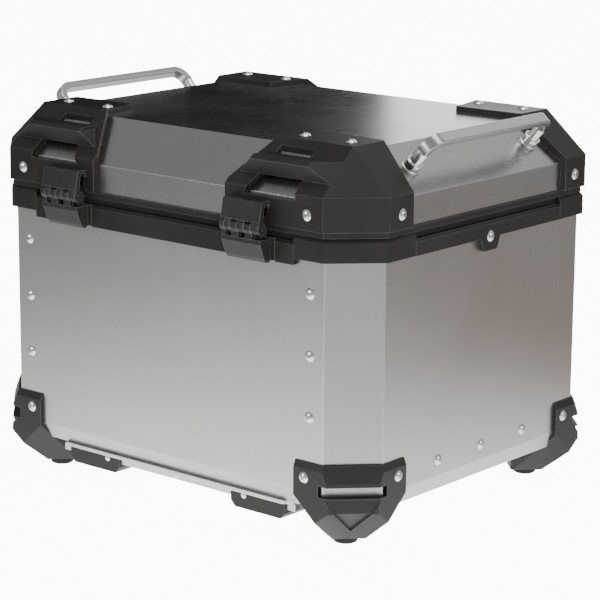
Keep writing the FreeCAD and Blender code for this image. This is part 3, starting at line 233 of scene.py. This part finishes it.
def moulded_plastic(name, tone, roughness, grain_size, relief=0.25, warmth=0.0, edge=0.0, edge_highlight_tone=0.0):
    """Dark plastic with a fine spark-eroded texture, uneven sheen and, given an edge radius, a painted
    highlight along its edges.
    """
    material, tree, shader = surface(name, grey(tone, warmth), 0.0, roughness)
    shader.inputs["Specular IOR Level"].default_value = PLASTIC_SHINE
    speckle = grain(tree, (1, 1, 1), 1 / grain_size, 3.0)
    patches = grain(tree, (14, 14, 14), 1.0, 4.0)
    colour = tint(tree, patches, grey(tone * 0.8, warmth), grey(tone * 1.3, warmth))
    # painted highlight: the edges get a lighter tone, by how far a rounded normal turns there
    if edge:
        colour = blend(tree, edge_highlight_mask(tree, edge), colour, grey(edge_highlight_tone, warmth))
    tree.links.new(colour, shader.inputs["Base Color"])
    tree.links.new(ranged(tree, patches, roughness - 0.06, roughness + 0.08), shader.inputs["Roughness"])
    bump(tree, shader, speckle, relief, 0.2 * MM)
    return material


def polished_metal(name, tone, roughness, scratch=0.05):
    """Bright metal with fine turning marks and small scratches."""
    material, tree, shader = surface(name, grey(tone), 1.0, roughness)
    marks = grain(tree, (1500, 1500, 300), 1.0, 2.0)
    tree.links.new(ranged(tree, marks, roughness * 0.7, roughness * 1.6), shader.inputs["Roughness"])
    tree.links.new(tint(tree, marks, grey(tone * 0.9), grey(min(1.0, tone * 1.08))),
                   shader.inputs["Base Color"])
    bump(tree, shader, marks, scratch, 0.1 * MM)
    return material


# noise periods in a metre along X, Y and Z
VERTICAL_GRAIN = (2200, 2200, 7)     # long along Z
LENGTH_GRAIN = (7, 2200, 2200)       # long along X
DEPTH_GRAIN = (2200, 7, 2200)        # long along Y
LID_GRAIN = (2600, 12, 90)           # long along Y on the top, up and down on the front


def make_materials():
    """One material for each slot of the record."""
    return {
        "body_aluminium": brushed_metal("body_aluminium", 0.50, VERTICAL_GRAIN, 0.36, 0.01, 0.06, 1.0 * MM),
        "lid_aluminium": brushed_metal("lid_aluminium", 0.46, LID_GRAIN, 0.27, 0.01, 0.03, 1.0 * MM),
        "inlay_aluminium": ribbed_metal("inlay_aluminium", 0.45, 2.6 * MM),
        "tray_aluminium": brushed_metal("tray_aluminium", 0.55, LENGTH_GRAIN, 0.30, 0.0, 0.05, 0.8 * MM),
        "handle_aluminium": brushed_metal("handle_aluminium", 0.60, DEPTH_GRAIN, 0.24),
        "polished_steel": polished_metal("polished_steel", 0.86, 0.16, 0.015),
        "fastener_steel": polished_metal("fastener_steel", 0.88, 0.18),
        "pin_steel": polished_metal("pin_steel", 0.42, 0.30),
        "hinge_alloy": moulded_plastic("hinge_alloy", 0.03, 0.45, 0.5 * MM),
        # the last two numbers of these plastics are the edge radius and the tone of the painted edge
        # highlight
        "cover_plastic": moulded_plastic("cover_plastic", 0.014, 0.44, 0.7 * MM, 0.3, 0.06, 0.8 * MM, 0.11),
        "black_plastic": moulded_plastic("black_plastic", 0.013, 0.44, 0.6 * MM, 0.25, 0.04, 0.7 * MM, 0.09),
        "latch_plastic": moulded_plastic("latch_plastic", 0.018, 0.42, 1.6 * MM, 0.5, 0.0, 0.5 * MM, 0.16),
        "foot_rubber": moulded_plastic("foot_rubber", 0.015, 0.75, 0.8 * MM, 0.4),
        "seal_rubber": moulded_plastic("seal_rubber", 0.012, 0.8, 0.8 * MM, 0.4),
    }


# ---------------------------------------------------------------- edges of the carried-over nodes

EDGE_SEGMENTS = 3
EDGE_ANGLE = math.radians(28)        # flatter folds stay as they are
EDGE_WIDTHS = {"cover_plastic": 1.2 * MM, "black_plastic": 0.8 * MM, "foot_rubber": 1.5 * MM,
               "latch_plastic": 0.45 * MM, "hinge_alloy": 0.45 * MM, "polished_steel": 0.5 * MM}


def soften(thing, width):
    """Join the flat faces of a node, and round its sharp edges so that they catch the light."""
    weld = thing.modifiers.new("weld", "WELD")
    weld.merge_threshold = 0.01 * MM
    flat = thing.modifiers.new("flat", "DECIMATE")
    flat.decimate_type = "DISSOLVE"
    flat.angle_limit = math.radians(1)
    edge = thing.modifiers.new("edge", "BEVEL")
    edge.width = width
    edge.segments = EDGE_SEGMENTS
    edge.limit_method = "ANGLE"
    edge.angle_limit = EDGE_ANGLE
    edge.harden_normals = True


def dress_nodes(materials):
    """Give every node its slot's material and its edges."""
    slots = {entry["node"]: entry["material_slot"] for entry in record["subparts"]}
    for name, thing in frame["nodes"].items():
        slot = slots[name]
        for material_slot in thing.material_slots:
            material_slot.material = materials[slot]
        if slot in EDGE_WIDTHS:
            soften(thing, EDGE_WIDTHS[slot])


# ---------------------------------------------------------------- rivet mandrels

# radius and height over the crown, in mm: a low pin, the groove round it and the lip of the head
MANDREL = ((0.0, 0.16), (0.55, 0.14), (0.75, -0.02), (1.15, -0.02), (1.3, 0.05), (1.7, 0.02), (1.9, -0.25))
MANDREL_SIDES = 20
RIVETED = (("panel_rivets", "case"), ("side_rivets", "case"), ("protector_rivets", "case"),
           ("rim_rivets", "case"), ("cover_rivets", "lid"), ("cover_top_screws", "lid"))


def islands(mesh):
    """The loose parts of a mesh, each as a list of points."""
    parent = list(range(len(mesh.vertices)))

    def root(index):
        while parent[index] != index:
            parent[index] = parent[parent[index]]
            index = parent[index]
        return index

    for edge in mesh.edges:
        parent[root(edge.vertices[0])] = root(edge.vertices[1])
    groups = {}
    for vertex in mesh.vertices:
        groups.setdefault(root(vertex.index), []).append(vertex.co)
    return list(groups.values())


def merged(boxes):
    """Join boxes that overlap, so that each rivet is one box."""
    found = []
    for low, high in boxes:
        for other in found:
            if all(low[k] <= other[1][k] + MM and other[0][k] <= high[k] + MM for k in range(3)):
                other[0] = [min(pair) for pair in zip(low, other[0])]
                other[1] = [max(pair) for pair in zip(high, other[1])]
                break
        else:
            found.append([list(low), list(high)])
    return found


def rivet_crowns(thing):
    """Crown point and outward direction of every rivet in a node."""
    boxes = []
    for points in islands(thing.data):
        world = [thing.matrix_world @ point for point in points]
        boxes.append(([min(point[k] for point in world) for k in range(3)],
                      [max(point[k] for point in world) for k in range(3)]))
    crowns = []
    for low, high in merged(boxes):
        spans = [high[k] - low[k] for k in range(3)]
        odd = max(range(3), key=lambda k: abs(spans[k] - sorted(spans)[1]))
        middle = [(low[k] + high[k]) / 2 for k in range(3)]
        sign = 1 if odd == 2 or middle[odd] > 0 else -1
        middle[odd] = high[odd] if sign > 0 else low[odd]
        out = Vector([0, 0, 0])
        out[odd] = sign
        crowns.append((Vector(middle), out))
    return crowns


def make_mandrels(name, source, body, material):
    """The broken-off pull pins in the middle of a node's rivet heads, riding on a body."""
    points, faces = [], []
    for crown, out in rivet_crowns(frame["nodes"][source]):
        side = out.orthogonal().normalized()
        other = out.cross(side)
        start = len(points)
        points.append(crown + out * (MANDREL[0][1] * MM))
        for radius, rise in MANDREL[1:]:
            for step in range(MANDREL_SIDES):
                turn = 2 * math.pi * step / MANDREL_SIDES
                away = side * math.cos(turn) + other * math.sin(turn)
                points.append(crown + away * (radius * MM) + out * (rise * MM))
        for step in range(MANDREL_SIDES):
            after = (step + 1) % MANDREL_SIDES
            faces.append((start, start + 1 + step, start + 1 + after))
            for ring in range(len(MANDREL) - 2):
                low = start + 1 + ring * MANDREL_SIDES
                high = low + MANDREL_SIDES
                faces.append((low + step, high + step, high + after, low + after))
    piece = mesh_object(name, points, faces, material)
    piece.data.shade_smooth()
    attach(piece, body)


# ---------------------------------------------------------------- carry handle bars

HANDLE_SEAT = Vector((191.35, 0, 308.8)) * MM      # middle of the lid's slope
HANDLE_LEAN = math.radians(41.65)
BAR_END = 82 * MM                                  # legs from the middle
BAR_RISE = 33 * MM                                 # centre line over the slope
BAR_FOOT = 20.6 * MM
BAR_BEND = 12 * MM
BAR_HALF_WIDE = 5 * MM
BAR_HALF_THICK = 3.25 * MM
BAR_CORNER = 0.8 * MM
BEND_STEPS = 14
CORNER_STEPS = 3


def bar_section():
    """A rounded rectangle, as (across, through) pairs."""
    section = []
    wide, thick = BAR_HALF_WIDE - BAR_CORNER, BAR_HALF_THICK - BAR_CORNER
    for quarter, (u, v) in enumerate(((wide, thick), (-wide, thick), (-wide, -thick), (wide, -thick))):
        for step in range(CORNER_STEPS + 1):
            turn = math.pi / 2 * (quarter + step / CORNER_STEPS)
            section.append((u + BAR_CORNER * math.cos(turn), v + BAR_CORNER * math.sin(turn)))
    return section


def bar_path():
    """Centre line of the bar as (along, rise) points, each with its outward direction."""
    path = [((-BAR_END, BAR_FOOT), (-1, 0))]
    for way, first in ((-1, math.pi), (1, math.pi / 2)):
        for step in range(BEND_STEPS + 1):
            turn = first - math.pi / 2 * step / BEND_STEPS
            out = (math.cos(turn), math.sin(turn))
            path.append((((BAR_END - BAR_BEND) * way + BAR_BEND * out[0],
                          BAR_RISE - BAR_BEND + BAR_BEND * out[1]), out))
    path.append(((BAR_END, BAR_FOOT), (1, 0)))
    return path


def make_handle_bar(name, side, stands_for, material):
    """A flat bar with rounded corners, bent down at both ends."""
    across = Vector((math.cos(HANDLE_LEAN), 0, -math.sin(HANDLE_LEAN)))
    rise = Vector((math.sin(HANDLE_LEAN), 0, math.cos(HANDLE_LEAN)))
    along = Vector((0, 1, 0))
    section, path = bar_section(), bar_path()
    points, faces = [], []
    for (y, z), (out_y, out_z) in path:
        for u, v in section:
            point = HANDLE_SEAT + across * u + along * (y + out_y * v) + rise * (z + out_z * v)
            point.x *= side
            points.append(point)
    count = len(section)
    for ring in range(len(path) - 1):
        for step in range(count):
            after = (step + 1) % count
            low, high = ring * count, (ring + 1) * count
            faces.append((low + step, low + after, high + after, high + step))
    faces.append(tuple(range(count))[::-1])
    faces.append(tuple(range(len(points) - count, len(points))))
    if side < 0:
        faces = [face[::-1] for face in faces]
    piece = mesh_object(name, points, faces, material)
    piece.data.shade_smooth()
    piece.modifiers.new("normals", "WEIGHTED_NORMAL")
    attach(piece, "lid")
    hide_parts(stands_for)


# ---------------------------------------------------------------- stage

FLOOR_HALF = 6.0
FLOOR_GAP = 0.5 * MM                 # between the floor that is seen and the one under it
FAR_GLOW = 0.12
BOUNCE_MIDDLE = (0.05, -0.15, 0)


def floor_sheet(name, level, tone, glow, fade_radii=None):
    """A wide pale floor that glows, evenly or fading between two radii."""
    material, tree, shader = surface(name, grey(tone), 0.0, 0.9)
    shader.inputs["Emission Color"].default_value = (1, 1, 1, 1)
    shader.inputs["Emission Strength"].default_value = glow
    if fade_radii:
        coords = tree.nodes.new("ShaderNodeTexCoord")
        far = tree.nodes.new("ShaderNodeVectorMath")
        far.operation = "LENGTH"
        tree.links.new(coords.outputs["Object"], far.inputs[0])
        fade = node_of(tree, "ShaderNodeMapRange")
        for index, number in enumerate((*fade_radii, glow, FAR_GLOW), start=1):
            fade.inputs[index].default_value = number
        tree.links.new(far.outputs["Value"], fade.inputs[0])
        tree.links.new(fade.outputs[0], shader.inputs["Emission Strength"])
    corners = [(x, y, level) for x, y in ((-FLOOR_HALF, -FLOOR_HALF), (FLOOR_HALF, -FLOOR_HALF),
                                          (FLOOR_HALF, FLOOR_HALF), (-FLOOR_HALF, FLOOR_HALF))]
    floor = mesh_object(name, corners, [(0, 1, 2, 3)], material)
    return floor


def make_floor():
    """The white floor that is seen, over a plain one that lights and reflects in the case."""
    seen = floor_sheet("floor", 0, 0.9, 11.0)
    seen.visible_diffuse = False
    seen.visible_glossy = False
    under = floor_sheet("floor_bounce", -FLOOR_GAP, 0.5, 2.2, (0.15, 0.85))
    under.location = BOUNCE_MIDDLE
    under.visible_camera = False


def area_light(name, place, aim, size, power):
    """A rectangular lamp, turned to a point."""
    data = bpy.data.lights.new(name, "AREA")
    data.shape = "RECTANGLE"
    data.size, data.size_y = size
    data.energy = power
    light = bpy.data.objects.new(name, data)
    bpy.context.scene.collection.objects.link(light)
    light.location = place
    light.rotation_euler = (Vector(aim) - Vector(place)).to_track_quat("-Z", "Y").to_euler()
    return light


def upright_card(left, right, low, high, depth):
    """Corners of a card that stands across the back."""
    return [(left, depth, low), (right, depth, low), (right, depth, high), (left, depth, high)]


# name, corners, colour and brightness
CARDS = (
    ("black_card", upright_card(-3.5, -0.49, 0.30, 1.6, 0.75), (0, 0, 0), 0),
    ("bright_card", upright_card(-0.48, 0.05, 0.34, 0.8, 0.75), (1, 1, 1), 2.5),
    ("warm_card", [(0.60, 0.30, 0), (0.90, 0.66, 0), (0.90, 1.10, 0), (0.32, 0.38, 0)],
     (0.42, 0.22, 0.12), 0.9),
    ("slope_card", upright_card(0.2, 0.8, 1.0, 1.8, 1.2), (1, 1, 1), 0.9),
)


def make_cards():
    """Studio cards that show only in reflections, black or softly lit."""
    for name, corners, colour, brightness in CARDS:
        material, _, shader = surface(name, (0, 0, 0), 0.0, 1.0)
        shader.inputs["Specular IOR Level"].default_value = 0
        shader.inputs["Emission Color"].default_value = (*colour, 1)
        shader.inputs["Emission Strength"].default_value = brightness
        thing = mesh_object(name, corners, [(0, 1, 2, 3)], material)
        thing.visible_camera = False
        thing.visible_shadow = False
        thing.visible_diffuse = False


SKY_STEPS = ((0.0, 0.5), (0.2, 0.45), (0.45, 0.38), (0.75, 0.32), (1.0, 0.35))   # sine of height, brightness


def make_sky():
    """An even grey sky, a little brighter at the horizon."""
    world = bpy.data.worlds.new("studio")
    bpy.context.scene.world = world
    world.use_nodes = True
    tree = world.node_tree
    background = tree.nodes["Background"]
    background.inputs["Strength"].default_value = 1.0
    coords = tree.nodes.new("ShaderNodeTexCoord")
    split = tree.nodes.new("ShaderNodeSeparateXYZ")
    height = node_of(tree, "ShaderNodeMapRange", From_Min=-1)
    sky = tree.nodes.new("ShaderNodeValToRGB")
    steps = sky.color_ramp.elements
    steps[0].position, steps[0].color = 0.5, (*grey(SKY_STEPS[0][1]), 1)
    steps[1].position, steps[1].color = 1.0, (*grey(SKY_STEPS[-1][1]), 1)
    for rise, tone in SKY_STEPS[1:-1]:
        steps.new((1 + rise) / 2).color = (*grey(tone), 1)
    tree.links.new(coords.outputs["Generated"], split.inputs[0])
    tree.links.new(split.outputs["Z"], height.inputs["Value"])
    tree.links.new(height.outputs["Result"], sky.inputs["Fac"])
    tree.links.new(sky.outputs["Color"], background.inputs["Color"])


def make_lights():
    """Soft boxes; the key only shines in the metal, and the corner one only lights the plastics."""
    middle = (0, 0, 0.15)
    key = area_light("key", (-0.9, -2.6, 1.7), middle, (1.4, 1.0), 30)
    key.visible_diffuse = False
    corner = area_light("corner", (1.9, -1.6, 0.5), (0.15, -0.12, 0.22), (0.7, 0.9), 55)
    corner.visible_glossy = False
    area_light("side", (2.8, 0.6, 1.3), middle, (1.2, 1.0), 15)
    area_light("top", (0.3, 0.2, 3.0), (0, 0, 0), (2.0, 2.0), 30)


# ---------------------------------------------------------------- build

make_camera()
make_cards()
make_sky()
make_lights()
make_floor()
materials = make_materials()
dress_nodes(materials)
for rivets, body in RIVETED:
    make_mandrels(rivets + "_mandrels", rivets, body, materials["pin_steel"])

make_handle_bar("right_handle", 1, "right_handle_bar", materials["handle_aluminium"])
make_handle_bar("left_handle", -1, "left_handle_bar", materials["handle_aluminium"])
